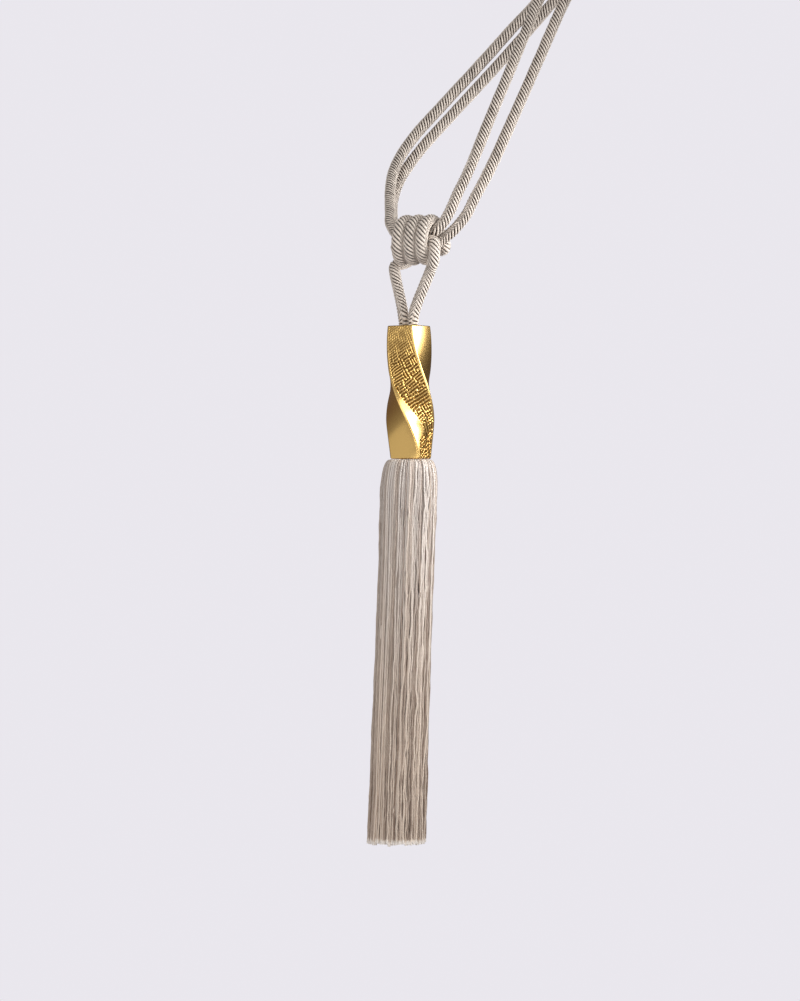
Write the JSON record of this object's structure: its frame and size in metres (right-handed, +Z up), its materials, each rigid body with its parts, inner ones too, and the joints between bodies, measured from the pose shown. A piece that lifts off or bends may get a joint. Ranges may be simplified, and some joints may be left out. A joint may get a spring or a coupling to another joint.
{
  "type": "curtain tieback tassel",
  "caption": "Curtain tieback: a braided cord looped round a curtain and hung on a wall hook, with a barrel knot, a twisted metal tassel head and a long yarn skirt.",
  "frame": {"origin": "the top of the wall hook, under the crowns of the tieback cord's two loops", "axes": "+X right as seen from the room, +Y towards the wall, +Z up"},
  "size_m": [0.1788, 0.1235, 0.6893],
  "materials": {
    "ivory_braid": "ivory braided cord with fine slanting ribs and a slight sheen",
    "satin_gold": "gold-coloured plated metal, satin on two faces and grained on the other two",
    "cream_yarn": "cream viscose yarn, loosely hanging, with a soft sheen"
  },
  "bodies": {
    "root": {"tieback_cord": "ivory_braid", "tassel_cord": "ivory_braid", "head": "satin_gold", "skirt": "cream_yarn"}
  },
  "joints": []
}
